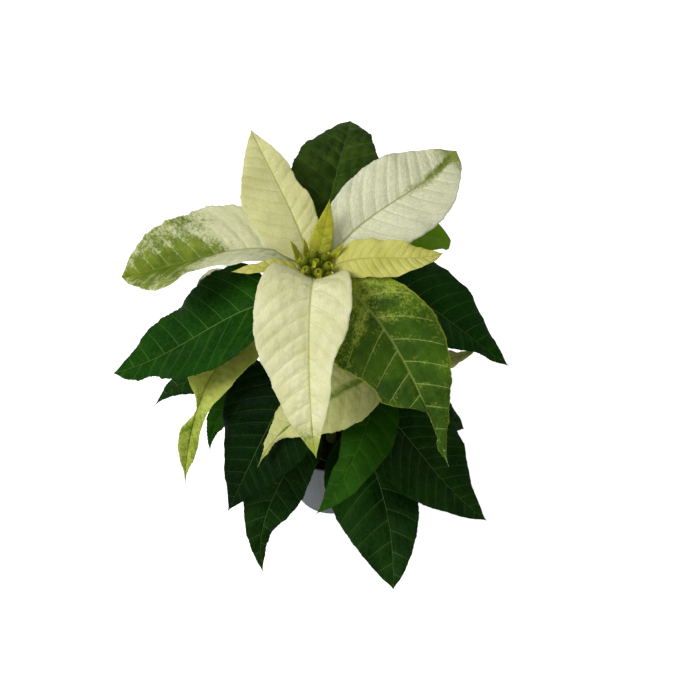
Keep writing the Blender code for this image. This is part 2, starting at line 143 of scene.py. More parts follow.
class Blade(NamedTuple):
    """A leaf or bract with its stalk. The fields up to lobes mean what the part's mean, with its values."""

    name: str
    look: str
    shoot: str
    node: float  # height of the node on the shoot
    bearing: float  # way the stalk leaves the shoot
    rise: float  # slope of the stalk at the shoot
    tip: tuple
    heading: float  # way the tip points
    droop: float  # slope at the tip
    stalk: float  # length of the stalk
    width: float
    fold: float = 12.0  # slope of each half where it leaves the rib
    camber: float = 16.0  # how far that slope has fallen by the margin
    roll: float = 0.0  # bank, positive lowers the right side seen from the shoot
    twist: float = 0.0  # further bank gained by the tip
    broad: float = 0.55  # roundness of the base
    taper: float = 1.0  # above 1 the tip is drawn out
    uneven: float = 0.0  # share by which the right half is wider, and the left half narrower
    ears: float = 0.0  # how far the base's lobes reach back beyond the stalk's end
    wave: float = 0.0015  # height of the margin's waves
    lobes: tuple = ()  # (side, place from base to tip, size in widths)
    veins: float = 10.0  # side veins of one half
    quilt: float = 0.0004  # height of the pillows between the side veins
    tooth: float = 0.0007  # depth of the margin's teeth


SHOOTS = (
    Shoot(
        "main", ((0, 0, 0.036), (0.001, 0, 0.085), (-0.003, 0.002, 0.14), (-0.006, 0.003, 0.187)),
        0.0031, 0.0026, 260,
    ),
    Shoot(
        "left", ((0, 0, 0.088), (-0.012, 0.003, 0.098), (-0.028, 0.008, 0.108), (-0.034, 0.011, 0.132)),
        0.002, 0.0017, 90,
    ),
    Shoot(
        "right", ((0, 0, 0.082), (0.01, -0.003, 0.092), (0.026, -0.008, 0.102), (0.03, -0.01, 0.128)),
        0.002, 0.0017, 90,
    ),
)

HEADS = (
    # name of the flowers on each shoot, size, cups of the ring, and how far the ring is from the middle
    ("flowers", 1.0, 6, 0.0052),
    ("flowers_left", 0.7, 4, 0.0032),
    ("flowers_right", 0.7, 4, 0.0032),
)

BLADES = (
    # Big bracts of the main head
    Blade(
        "bract_back_left", "cream_bract", "main", 0.18, 112, 38, (-0.042, 0.082, 0.213),
        112, 10, 0.01, 0.0345, fold=16, roll=-13, broad=0.7, taper=1.1, uneven=-0.25, ears=0.003,
        lobes=(("left", 0.5, 0.05), ("right", 0.5, -0.07)), veins=11, quilt=0.0003, tooth=0.0005,
    ),
    Blade(
        "bract_back_right", "netted_bract", "main", 0.179, 62, 40, (0.068, 0.073, 0.206),
        60, 5, 0.012, 0.049, roll=14, broad=0.75, taper=0.78, ears=0.004, lobes=(("right", 0.85, -0.04),),
        veins=12, quilt=0.0002, tooth=0.0006,
    ),
    Blade(
        "bract_right", "yellow_bract", "main", 0.186, 20, 28, (0.0588, 0.0032, 0.2013),
        22, 0, 0.006, 0.025, fold=18, roll=3, broad=0.62, taper=0.93, uneven=0.1, ears=0.003,
        lobes=(("left", 0.5, -0.04), ("right", 0.25, -0.03)), veins=13, quilt=0.0002, tooth=0.0003,
    ),
    Blade(
        "bract_front", "front_bract", "main", 0.184, 258, 64, (-0.006, -0.0856, 0.1446),
        284, -50, 0.009, 0.051, fold=22, roll=-1, twist=50, broad=0.36, uneven=0.12, ears=0.014,
        lobes=(("left", 0.25, 0.03), ("left", 0.5, -0.07)), veins=11, quilt=0.0008, tooth=0.0006,
    ),
    Blade(
        "bract_front_right", "mottled_bract", "main", 0.177, 322, 50, (0.0625, -0.0735, 0.1204),
        300, -52, 0.011, 0.054, roll=26, broad=1.1, taper=1.8, uneven=0.05, ears=0.006,
        lobes=(("right", 0.25, 0.08), ("right", 0.5, -0.09), ("right", 0.75, -0.26)), veins=9, quilt=0.0008,
        tooth=0.001,
    ),
    Blade(
        "bract_left", "half_green_bract", "main", 0.174, 118, 30, (-0.1112, 0.019, 0.165),
        176, -16, 0.012, 0.052, fold=36, camber=10, twist=-16, broad=0.85, taper=0.74,
        lobes=(("left", 0.25, 0.04), ("left", 0.5, -0.09), ("left", 0.75, 0.11)), veins=12, quilt=0.0007,
        tooth=0.0013,
    ),
    Blade(
        "bract_left_small", "yellow_bract", "main", 0.185, 178, 42, (-0.05, -0.0046, 0.1957),
        184, -4, 0.005, 0.0095, wave=0.0008, veins=8, quilt=0.0002, tooth=0.0002,
    ),
    Blade(
        "bract_top_small", "lime_bract", "main", 0.185, 88, 34, (0.0005, 0.03, 0.2137),
        80, 58, 0.003, 0.0117, taper=1.2, wave=0.0005, veins=7, quilt=0.0001, tooth=0.0001,
    ),
    # Small bracts close round the flowers
    Blade(
        "bractlet_1", "lime_bract", "main", 0.185, 153, 15, (-0.02, 0.015, 0.198),
        145, 55, 0.003, 0.005, wave=0.0003, veins=4, quilt=0, tooth=0,
    ),
    Blade(
        "bractlet_2", "lime_bract", "main", 0.185, 130, 15, (-0.013, 0.016, 0.199),
        120, 65, 0.003, 0.004, wave=0.0003, veins=4, quilt=0, tooth=0,
    ),
    Blade(
        "bractlet_3", "lime_bract", "main", 0.185, 54, 22, (0.0075, 0.0125, 0.2),
        44, 62, 0.003, 0.0045, wave=0.0003, veins=4, quilt=0, tooth=0,
    ),
    Blade(
        "bractlet_4", "lime_bract", "main", 0.185, 338, 20, (0.0075, -0.0042, 0.1945),
        330, 65, 0.002, 0.006, wave=0.0002, veins=4, quilt=0, tooth=0,
    ),
    # Leaves of the main stem, from the top down
    Blade(
        "leaf_left", "green_leaf", "main", 0.168, 196, 24, (-0.1183, -0.0074, 0.1155),
        179, -20, 0.022, 0.057, roll=-2, broad=0.4, taper=0.84, uneven=0.08,
        lobes=(
            ("left", 0.25, 0.04), ("left", 0.75, -0.08), ("right", 0.1, 0.07), ("right", 0.25, 0.03),
            ("right", 0.5, -0.03), ("right", 0.75, 0.05),
        ),
        quilt=0.0005, tooth=0.0014,
    ),
    Blade(
        "leaf_right", "green_leaf", "main", 0.171, 10, 21, (0.097, -0.01, 0.125),
        342, -32, 0.022, 0.0542, taper=1.18, uneven=-0.22, lobes=(("right", 0.75, -0.04),), veins=11,
        quilt=0.0004, tooth=0.0006,
    ),
    Blade(
        "leaf_back", "pale_green_leaf", "main", 0.17, 88, 36, (0.0112, 0.129, 0.1744),
        87, -26, 0.022, 0.048, roll=2, broad=0.57, taper=0.95, uneven=-0.04, veins=9, quilt=0.0014,
        tooth=0.0012,
    ),
    # This leaf's look is brightened by painted light
    Blade(
        "leaf_back_right", "fresh_leaf_painted_light", "main", 0.16, 56, 18, (0.0672, 0.064, 0.145),
        4, -30, 0.02, 0.036, roll=-10, taper=0.4, uneven=-0.04, lobes=(("right", 0.5, -0.14),), veins=8,
    ),
    # This leaf's look is painted shade, a darker copy of dark_leaf
    Blade(
        "leaf_front_left", "painted_shade_leaf", "main", 0.128, 240, 24, (-0.056, -0.064, 0.065),
        226, -53, 0.022, 0.0585, broad=0.47, taper=1.2, uneven=0.02, veins=11, quilt=0.0004, tooth=0.0006,
    ),
    Blade(
        "leaf_front_right", "dark_leaf", "main", 0.098, 330, 18, (0.086, -0.068, 0.062),
        335, -24, 0.024, 0.064, broad=0.46, taper=1.12, veins=13, quilt=0.0004, tooth=0.0004,
    ),
    Blade(
        "leaf_front_left_low", "dark_leaf", "main", 0.086, 256, 10, (-0.0371, -0.0847, 0.0354),
        289, -45, 0.02, 0.0335, broad=0.61, taper=1.3, uneven=0.13,
        lobes=(("left", 0.25, -0.04), ("left", 0.5, 0.04), ("left", 0.75, -0.05)), veins=9,
    ),
    Blade(
        "leaf_front_low", "dark_leaf", "main", 0.08, 303, 14, (0.0345, -0.1017, 0.0452),
        268, -41, 0.022, 0.0493, taper=0.92, uneven=0.21, veins=8, quilt=0.0005, tooth=0.0006,
    ),
    Blade(
        "leaf_right_low", "dark_leaf", "main", 0.075, 358, 24, (0.076, -0.004, 0.06),
        350, -50, 0.02, 0.04,
    ),
    Blade(
        "leaf_left_low", "dark_leaf", "main", 0.08, 177, 18, (-0.1015, 0.0107, 0.0621),
        222, -36, 0.022, 0.0305, taper=1.3,
    ),
    Blade(
        "leaf_left_small", "bright_leaf", "left", 0.106, 210, 10, (-0.0671, -0.0272, 0.0702),
        275, -60, 0.014, 0.0215, taper=1.5, veins=7,
    ),
    Blade(
        "leaf_front_bright", "bright_leaf", "right", 0.114, 266, 26, (-0.007, -0.084, 0.092),
        211, -37, 0.01, 0.029, roll=2, broad=0.62, taper=1.1, uneven=-0.2, lobes=(("right", 0.55, -0.05),),
        veins=9, quilt=0.0003, tooth=0.0003,
    ),
    # Leaves behind
    Blade(
        "leaf_behind_low", "dark_leaf", "main", 0.074, 104, 16, (-0.022, 0.086, 0.062),
        104, -40, 0.022, 0.05,
    ),
    Blade(
        "leaf_behind_left", "dark_leaf", "main", 0.12, 118, 20, (-0.044, 0.074, 0.094),
        118, -40, 0.022, 0.044,
    ),
    Blade(
        "leaf_behind_right", "dark_leaf", "main", 0.11, 62, 18, (0.04, 0.075, 0.088),
        62, -40, 0.022, 0.05,
    ),
    # Bracts of the side heads
    Blade(
        "side_bract_left", "side_mottled_bract", "left", 0.128, 200, 17, (-0.079, -0.054, 0.075),
        236, -85, 0.008, 0.04, fold=50, camber=20, roll=-20, broad=0.42, taper=1.8, uneven=-0.1,
        lobes=(("left", 0.5, -0.08), ("right", 0.5, -0.26), ("left", 0.75, 0.07), ("right", 0.75, 0.04)),
        veins=9, quilt=0.0006, tooth=0.0008,
    ),
    Blade(
        "side_bract_back", "netted_bract", "left", 0.127, 150, 22, (-0.0737, 0.0352, 0.139),
        196, -16, 0.008, 0.034, taper=0.8, veins=9, quilt=0.0003,
    ),
    Blade(
        "side_bract_front", "side_cream_bract", "right", 0.124, 239, 31, (-0.0384, -0.0591, 0.0999),
        230, -57, 0.008, 0.045, roll=-8, broad=0.73, taper=2, uneven=0.09, lobes=(("left", 0.75, -0.07),),
        veins=9, quilt=0.0005, tooth=0.0009,
    ),
    Blade(
        "side_bract_right", "side_cream_bract", "right", 0.125, 6, 16, (0.079, -0.0023, 0.13),
        30, 14, 0.008, 0.0135, veins=9, quilt=0.0003, tooth=0.0003,
    ),
)


# Looks, with their colours in linear light

# Outputs of the vein group that the stain group takes in
MARKS = ("Along", "Across", "Veins", "Between")


class Stain(NamedTuple):
    """Where a pale bract is green."""

    base: float = 0.0  # share all over
    pillows: float = 0.0  # more between the veins
    tip: float = 0.0  # more at the tip, from one share of the length to another
    tip_from: float = 0.7
    tip_to: float = 1.0
    rib: float = 0.0  # more within a width by the rib, likewise
    rib_from: float = 0.5
    rib_to: float = 0.8
    rib_width: float = 0.3
    patches: float = 0.3  # how far patches break it up
    grain: float = 0.3  # how far grain does
    pale_veins: float = 0.4  # less on the veins

    def inputs(self):
        """The fields by the names of the stain group's inputs."""
        return {field.replace("_", " ").title(): value for field, value in self._asdict().items()}


class BractLook(NamedTuple):
    """A pale bract: its slot, its colours, and how its stain, veins and margin show."""

    slot: str
    pale: tuple
    shaded: tuple
    green: tuple
    deep: tuple
    vein: tuple
    rib: tuple
    stain: Stain
    vein_width: float = 0.05
    edge: float = 0.0  # strength of the pale margin
    lines: float = 0.0  # strength of the veins on green


class LeafLook(NamedTuple):
    """A green leaf: its slot, its colours and its roughness."""

    slot: str
    dark: tuple
    light: tuple
    vein: tuple
    rib: tuple
    roughness: float = 0.5


BRACT_LOOKS = {
    "cream_bract": BractLook(
        "bract_cream", (0.66, 0.65, 0.32), (0.56, 0.55, 0.25), (0.3, 0.34, 0.06), (0.22, 0.26, 0.04),
        (0.46, 0.47, 0.15), (0.29, 0.32, 0.05), Stain(tip=0.7, tip_from=0.93),
    ),
    "netted_bract": BractLook(
        "bract_white", (0.79, 0.8, 0.55), (0.71, 0.73, 0.5), (0.26, 0.31, 0.06), (0.17, 0.22, 0.03),
        (0.42, 0.45, 0.18), (0.28, 0.31, 0.06),
        Stain(tip=0.95, tip_from=0.82, rib=0.9, rib_from=0.34, rib_to=0.85, pale_veins=0.0),
    ),
    "yellow_bract": BractLook(
        "bract_yellow", (0.61, 0.6, 0.17), (0.5, 0.49, 0.1), (0.34, 0.36, 0.04), (0.26, 0.29, 0.03),
        (0.44, 0.44, 0.08), (0.33, 0.35, 0.04), Stain(tip=0.7, tip_from=0.9), vein_width=0.035,
    ),
    "front_bract": BractLook(
        "bract_white", (0.74, 0.73, 0.45), (0.64, 0.63, 0.34), (0.36, 0.41, 0.06), (0.22, 0.28, 0.03),
        (0.52, 0.53, 0.22), (0.38, 0.4, 0.08),
        Stain(
            tip=0.95, tip_from=0.74, tip_to=0.97, rib=0.45, rib_from=0.1, rib_to=0.6, rib_width=0.11,
            patches=0.2, pale_veins=0.0,
        ),
    ),
    "mottled_bract": BractLook(
        "bract_mottled", (0.44, 0.52, 0.055), (0.28, 0.36, 0.022), (0.052, 0.128, 0.001),
        (0.026, 0.078, 0.001), (0.36, 0.44, 0.13), (0.26, 0.36, 0.08),
        Stain(base=0.26, pillows=0.22, tip=0.56, tip_from=0.08, tip_to=0.4, grain=0.42, pale_veins=0.2),
        vein_width=0.048, edge=0.6, lines=0.9,
    ),
    "half_green_bract": BractLook(
        "bract_white", (0.66, 0.67, 0.44), (0.57, 0.58, 0.36), (0.2, 0.26, 0.018), (0.1, 0.16, 0.006),
        (0.46, 0.48, 0.18), (0.16, 0.22, 0.03),
        Stain(
            base=0.02, pillows=0.2, tip=0.62, tip_from=0.34, tip_to=0.72, rib=0.5, rib_from=0.3,
            rib_to=0.55, rib_width=0.5, patches=0.42, grain=0.42, pale_veins=0.2,
        ),
        edge=0.5, lines=0.6,
    ),
    "lime_bract": BractLook(
        "bract_lime", (0.46, 0.44, 0.035), (0.36, 0.36, 0.025), (0.24, 0.28, 0.012), (0.16, 0.21, 0.008),
        (0.34, 0.36, 0.02), (0.3, 0.32, 0.015), Stain(base=0.35, patches=0.4),
    ),
    "side_mottled_bract": BractLook(
        "bract_mottled", (0.54, 0.59, 0.13), (0.42, 0.47, 0.08), (0.22, 0.32, 0.01), (0.14, 0.23, 0.006),
        (0.44, 0.48, 0.12), (0.17, 0.25, 0.02),
        Stain(base=0.12, tip=0.4, tip_from=0.3, tip_to=0.6, patches=0.5, grain=0.4, pale_veins=0.2),
        edge=0.6,
    ),
    "side_cream_bract": BractLook(
        "bract_cream", (0.6, 0.61, 0.24), (0.5, 0.52, 0.19), (0.24, 0.32, 0.04), (0.16, 0.24, 0.02),
        (0.34, 0.39, 0.09), (0.18, 0.25, 0.03),
        Stain(tip=0.8, tip_from=0.75, rib=0.75, rib_from=-0.2, rib_to=0.2, rib_width=0.2), edge=0.6,
    ),
}

LEAF_LOOKS = {
    "green_leaf": LeafLook(
        "leaf_green", (0.003, 0.034, 0.0003), (0.009, 0.062, 0.0006), (0.085, 0.16, 0.032),
        (0.13, 0.2, 0.04),
    ),
    "pale_green_leaf": LeafLook(
        "leaf_green", (0.016, 0.042, 0.003), (0.048, 0.095, 0.009), (0.085, 0.15, 0.03),
        (0.09, 0.16, 0.03), 0.45,
    ),
    "dark_leaf": LeafLook(
        "leaf_dark", (0.003, 0.022, 0.001), (0.013, 0.05, 0.004), (0.065, 0.13, 0.03),
        (0.1, 0.16, 0.035), 0.45,
    ),
    # Painted shade: dark_leaf's colours darkened for the front left leaf, which lies in the shadow of the
    # bracts over it
    "painted_shade_leaf": LeafLook(
        "leaf_dark", (0.0006, 0.008, 0.0002), (0.002, 0.018, 0.0006), (0.03, 0.07, 0.012),
        (0.07, 0.12, 0.025),
    ),
    "bright_leaf": LeafLook(
        "leaf_bright", (0.009, 0.05, 0.0006), (0.018, 0.08, 0.001), (0.045, 0.12, 0.006),
        (0.06, 0.14, 0.01),
    ),
    # A yellow-green young leaf, its colours brightened by painted light to make up for the shade of the bract
    # over it
    "fresh_leaf_painted_light": LeafLook(
        "leaf_bright", (0.13, 0.31, 0.001), (0.18, 0.37, 0.002), (0.12, 0.21, 0.006),
        (0.14, 0.23, 0.01),
    ),
    "leaf_underside": LeafLook(
        "leaf_green", (0.04, 0.085, 0.02), (0.06, 0.12, 0.03), (0.12, 0.19, 0.06),
        (0.15, 0.23, 0.07), 0.6,
    ),
}


# Curves that the part's source also has


def direction(bearing, slope):
    """Unit vector that points along a bearing and a slope."""
    b, s = math.radians(bearing), math.radians(slope)
    return np.array([math.cos(b) * math.cos(s), math.sin(b) * math.cos(s), math.sin(s)])


def unit(vectors):
    """The vectors, each made one long."""
    return vectors / np.linalg.norm(vectors, axis=-1, keepdims=True)


def cubic(points, t):
    """Points of the cubic curve with four control points, at the parameters t."""
    t = np.asarray(t, float)[:, None]
    a, b, c, d = (np.asarray(p, float) for p in points)
    return a * (1 - t) ** 3 + 3 * b * t * (1 - t) ** 2 + 3 * c * t**2 * (1 - t) + d * t**3


def shoot_at(shoot, height):
    """Centre and radius of a shoot where it passes a height."""
    share = np.linspace(0, 1, CURVE_SAMPLES)
    line = cubic(shoot.points, share)
    here = np.interp(height, line[:, 2], share)
    return cubic(shoot.points, [here])[0], shoot.foot_radius + (shoot.top_radius - shoot.foot_radius) * here


def stalk_radius(blade):
    """Wider blades have stouter stalks."""
    return 0.0006 + 0.008 * blade.width


def blade_line(blade):
    """Stalk and rib as one even curve: its points, its length up to each, its tangents and its bearings."""
    shoot = next(s for s in SHOOTS if s.name == blade.shoot)
    centre, radius = shoot_at(shoot, blade.node)
    lean = stalk_radius(blade) * math.sin(math.radians(abs(blade.rise)))
    start = centre + direction(blade.bearing, 0) * (radius + NODE_SWELL + GAP + lean)
    tip = np.array(blade.tip)
    handle = np.linalg.norm(tip - start) * HANDLE
    leave = start + direction(blade.bearing, blade.rise) * handle
    arrive = tip - direction(blade.heading, blade.droop) * handle
    line = cubic((start, leave, arrive, tip), np.linspace(0, 1, CURVE_SAMPLES))
    along = np.concatenate([[0], np.cumsum(np.linalg.norm(np.diff(line, axis=0), axis=1))])
    turn = (blade.heading - blade.bearing + 180) % 360 - 180
    tangent = unit(np.gradient(line, along, axis=0))
    return line, along, tangent, np.radians(blade.bearing + turn * along / along[-1])


def rib_frames(blade, places):
    """Centres, forward, sideways and upward directions of the blade at lengths along its curve."""
    line, along, tangent, bearing = blade_line(blade)
    u = np.clip((places - blade.stalk) / (along[-1] - blade.stalk), 0, 1)
    centre = np.stack([np.interp(places, along, line[:, k]) for k in range(3)], 1)
    forward = unit(np.stack([np.interp(places, along, tangent[:, k]) for k in range(3)], 1))
    way = np.interp(places, along, bearing)
    across = np.stack([np.sin(way), -np.cos(way), np.zeros_like(way)], 1)
    across = unit(across - forward * np.sum(across * forward, 1)[:, None])
    normal = np.cross(across, forward)
    bank = np.radians(blade.roll + blade.twist * u) * np.clip(places / blade.stalk, 0, 1)
    cos, sin = np.cos(bank)[:, None], np.sin(bank)[:, None]
    return centre, forward, across * cos - normal * sin, normal * cos + across * sin


# Meshes


def smooth(x, low, high):
    """0 below low, 1 above high, and a smooth cubic step between them."""
    t = np.clip((x - low) / (high - low), 0, 1)
    return t * t * (3 - 2 * t)


def grid_faces(rows, columns, wrap=False):
    """Four-cornered faces of a grid of points, closed round its columns if it wraps."""
    row = np.arange(rows - 1)[:, None] * columns
    j = np.arange(columns if wrap else columns - 1)[None]
    k = (j + 1) % columns
    corners = [row + j, row + k, row + columns + k, row + columns + j]
    return np.stack(corners, -1).reshape(-1, 4)


def capped_grid(rows, sides):
    """Faces of a tube with an even number of sides, with a fan of four-cornered faces over each end."""
    fan = np.arange(1, sides - 2, 2)
    cap = np.stack([np.zeros_like(fan), fan, fan + 1, fan + 2], -1)
    return np.concatenate([grid_faces(rows, sides, wrap=True), cap[:, ::-1], cap + (rows - 1) * sides])


def outward(points, faces):
    """The faces, turned round if the volume that they close is negative."""
    a, b, c, d = (points[faces[:, k]] for k in range(4))
    volume = np.sum(np.cross(b - a, c - a) * a) + np.sum(np.cross(c - a, d - a) * a)
    return faces if volume > 0 else faces[:, ::-1]


def sheet_faces(rows, columns):
    """Faces of a thin closed sheet of two grids: the upper ones, the lower ones and the rim's."""
    count = rows * columns
    upper = grid_faces(rows, columns)
    index = np.arange(count).reshape(rows, columns)
    border = np.concatenate([index[0, :-1], index[:-1, -1], index[-1, :0:-1], index[:0:-1, 0]])
    after = np.roll(border, -1)
    return upper, upper[:, ::-1] + count, np.stack([after, border, border + count, after + count], -1)


def tube_shell(centres, sideways, upward, radii, sides):
    """Round tube along a path, drawn in to a point at each end: centre + r (cos a side + sin a up)."""
    centres, sideways, upward = (np.concatenate([x[:1], x, x[-1:]]) for x in (centres, sideways, upward))
    radii = np.concatenate([[POINT], radii, [POINT]])
    angle = TURN * np.arange(sides) / sides
    ring = np.cos(angle)[None, :, None] * sideways[:, None] + np.sin(angle)[None, :, None] * upward[:, None]
    points = (centres[:, None] + radii[:, None, None] * ring).reshape(-1, 3)
    return points, outward(points, capped_grid(len(centres), sides))


def joined(shells):
    """Several shells as one: all their points, and their faces numbered on."""
    points, faces = zip(*shells)
    starts = np.cumsum([0] + [len(p) for p in points[:-1]])
    return np.concatenate(points), np.concatenate([f + start for f, start in zip(faces, starts)])


def new_piece(name, points, faces, looks, look_of_face=0, maps=None):
    """Smooth piece at the origin from arrays of points and four-cornered faces, with looks and UV maps."""
    mesh = bpy.data.meshes.new(name)
    mesh.vertices.add(len(points))
    mesh.vertices.foreach_set("co", np.asarray(points, np.float32).ravel())
    mesh.loops.add(faces.size)
    mesh.loops.foreach_set("vertex_index", np.asarray(faces, np.int32).ravel())
    mesh.polygons.add(len(faces))
    mesh.polygons.foreach_set("loop_start", np.arange(0, faces.size, 4, dtype=np.int32))
    mesh.polygons.foreach_set("material_index", np.full(len(faces), look_of_face, np.int32))
    mesh.update(calc_edges=True)
    for map_name, places in (maps or {}).items():
        layer = mesh.uv_layers.new(name=map_name, do_init=False)
        layer.uv.foreach_set("vector", np.asarray(places, np.float32).ravel())
    mesh.validate()
    mesh.shade_smooth()
    for look in looks:
        mesh.materials.append(look)
    piece = bpy.data.objects.new(name, mesh)
    bpy.context.collection.objects.link(piece)
    return piece


def installed(piece, node):
    """Puts a piece in the place of a node of the part."""
    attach(piece, "root")
    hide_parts(node)


# Blades


def half_width(blade, u, side):
    """Width of one half at shares u of the length: u^broad (1-u)^taper, with a smooth hump at each lobe."""
    peak = blade.broad / (blade.broad + blade.taper)
    top = peak**blade.broad * (1 - peak) ** blade.taper
    growth = 1 + blade.uneven if side == "right" else 1 - blade.uneven
    wide = blade.width / 2 * growth * u**blade.broad * (1 - u) ** blade.taper / top
    for where, place, size in blade.lobes:
        if where == side:
            hump = np.cos(np.clip((u - place) / LOBE_REACH, -1, 1) * math.pi / 2) ** 2
            wide = wide + blade.width * size * hump
    return np.maximum(wide, 0.0002)


def vein_phase(blade, u, out, side):
    """A number that is whole on each side vein. out is the distance from the rib in blade lengths.

    A vein that leaves the rib at u0 runs along u = u0 + 0.45 out + 1.2 out^2, so it bends towards the tip.
    The two sides are half a spacing apart.
    """
    return blade.veins * (u - 0.45 * out - 1.2 * out**2) + 0.25 * side


def teeth(blade, u, wide, side, span):
    """Depth of the margin's teeth: slow to grow from a side vein, fast to fall by the next, with notches."""
    phase = vein_phase(blade, u, wide / span, side)
    turn = phase - np.floor(phase)
    rising = np.where(turn < TOOTH_PEAK, turn / TOOTH_PEAK, (1 - turn) / (1 - TOOTH_PEAK))
    size = 0.6 + 0.4 * np.sin(2.7 * np.floor(phase) + 31 * blade.width * 100)
    small = np.sin(TURN * 2.7 * phase + 40 * u) * 0.16 + np.sin(TURN * 6.1 * phase) * 0.08
    return blade.tooth * (size * rising**1.6 + small) * smooth(u, 0.04, 0.2) * smooth(1 - u, 0.02, 0.15)


def relief(blade, u, wide, share, side, span):
    """Height of the skin between veins: pillows |sin(pi phase)|^0.7, with puckers and creases on them."""
    phase = vein_phase(blade, u, wide * share / span, side)
    pillow = np.abs(np.sin(math.pi * phase)) ** 0.7
    pucker = 1 + 0.35 * np.cos(TURN * wide * share / PUCKER + 2.1 * np.floor(phase))
    crease = np.sin(TURN * wide * share / CREASE + phase)
    crease = 0.4 * crease * np.sin(TURN * 2.3 * phase + 9 * share)
    fade = smooth(share, 0.02, 0.14) * (1 - share**4) * smooth(u, 0, 0.12) * smooth(1 - u, 0, 0.25)
    return blade.quilt * (pillow * pucker + crease) * fade


def blade_surface(blade, stations, columns):
    """Middle surface of a blade, with its shares along and across, and the distance out from the rib.

    A half of a cross-section is an arc that starts at the fold's slope and loses the camber's by the margin.
    Waves grow with the square of the distance from the rib.
    """
    along = blade_line(blade)[1]
    span = along[-1] - blade.stalk
    t = np.linspace(0, 1, stations)
    u = 0.4 * t + 0.3 * (1 - np.cos(math.pi * t))
    centre, forward, across, normal = rib_frames(blade, blade.stalk + u * span)
    v = np.linspace(-1, 1, columns)
    share, side = np.abs(v), np.sign(v)
    drawn = np.clip((1 - u) / DRAWN_TIP, 0, 1) ** 0.4
    halves = []
    for name, sign in (("left", -1), ("right", 1)):
        plain = half_width(blade, u, name)
        halves.append(((plain + teeth(blade, u, plain, sign, span)) * drawn)[:, None])
    wide = np.where(v < 0, *halves)
    u = u[:, None]
    fold, camber = math.radians(blade.fold), math.radians(blade.camber)
    sideways = wide * (math.sin(fold) - np.sin(fold - camber * share)) / camber
    upward = wide * (np.cos(fold - camber * share) - math.cos(fold)) / camber
    ripple = np.sin(TURN * (2.5 * u + 0.25 * side)) * np.sin(math.pi * u)
    fine = np.sin(TURN * (6.5 * u + 0.37 * side + 13 * blade.width)) * np.sin(math.pi * u)
    upward = upward + blade.wave * share**2 * (ripple + 0.35 * fine * share)
    upward = upward + relief(blade, u, wide, share, side, span)
    reach = share**2 * np.clip(1 - u / 0.4, 0, 1) ** 2
    spots = centre[:, None] - forward[:, None] * (blade.ears * reach)[..., None]
    spots = spots + (sideways * side)[..., None] * across[:, None] + upward[..., None] * normal[:, None]
    return spots, u + 0 * share, v + 0 * u, wide * share / span


def blade_shell(blade, stations, columns):
    """Closed sheet: the middle surface moved half a thickness along its normals to each side, and a rim."""
    spots, u, v, out = blade_surface(blade, stations, columns)
    facing = unit(np.cross(np.gradient(spots, axis=1), np.gradient(spots, axis=0)) + 1e-12)
    thick = MARGIN_THICK + (BLADE_THICK - MARGIN_THICK) * (1 - v**4) * smooth(1 - u, 0, 0.08)
    top = spots + facing * thick[..., None] / 2
    bottom = spots - facing * thick[..., None] / 2
    points = np.concatenate([top.reshape(-1, 3), bottom.reshape(-1, 3)])
    upper, lower, rim = sheet_faces(stations, columns)
    faces = np.concatenate([upper, lower, rim])
    turned = outward(points, faces)
    u, v, out = (np.tile(x.ravel(), 2) for x in (u, v, out))
    side = np.sign(v[turned].mean(1, keepdims=True))
    phase = vein_phase(blade, u[turned], out[turned], side)
    place = np.stack([u[turned], 0.5 + 0.5 * v[turned]], -1)
    veins = np.stack([phase / VEIN_MAP, 0.5 + side * out[turned]], -1)
    look = np.concatenate([np.zeros(len(upper)), np.ones(len(lower)), np.zeros(len(rim))])
    return points, turned, look, place, veins


def rib_shell(blade, stations):
    """Stalk and midrib as one tube that thins to the tip and sinks into the blade's underside."""
    along = blade_line(blade)[1]
    stalk = np.linspace(0, 0.96, STALK_STATIONS) * blade.stalk
    places = np.concatenate([stalk, np.linspace(blade.stalk, along[-1] * 0.985, stations)])
    u = np.clip((places - blade.stalk) / (along[-1] - blade.stalk), 0, 1)
    centre, forward, across, normal = rib_frames(blade, places)
    thick = stalk_radius(blade)
    radius = thick * (0.16 + 0.84 * (1 - u) ** 1.3) * (1 - 0.25 * smooth(u, 0, 0.05))
    radius = radius * (1 + 0.35 * np.exp(-places / 0.0015))
    sunk = radius * 0.78 * smooth(places, blade.stalk * 0.8, blade.stalk * 1.3)
    centre = centre - normal * sunk[:, None]
    centre[0] -= forward[0] * STALK_SUNK
    return tube_shell(centre, across, normal, radius, RIB_SIDES)


def build_blade(blade, slot, looks):
    """A blade and its rib in one piece, with fewer steps on a small blade."""
    small = blade.width < SMALL_BLADE
    fineness = (SMALL_STATIONS, SMALL_COLUMNS) if small else (STATIONS, COLUMNS)
    sheet_points, sheet, look, place, veins = blade_shell(blade, *fineness)
    rib_points, rib = rib_shell(blade, SMALL_RIB_STATIONS if small else RIB_STATIONS)
    points, faces = joined([(sheet_points, sheet), (rib_points, rib)])
    flat = np.full((len(rib), 4, 2), 0.5)
    piece = new_piece(
        blade.name + "_blade", points, faces, looks, np.concatenate([look, np.full(len(rib), 2)]),
        {"place": np.concatenate([place, flat]), "veins": np.concatenate([veins, flat])},
    )
    installed(piece, blade.name)


# Shader helpers


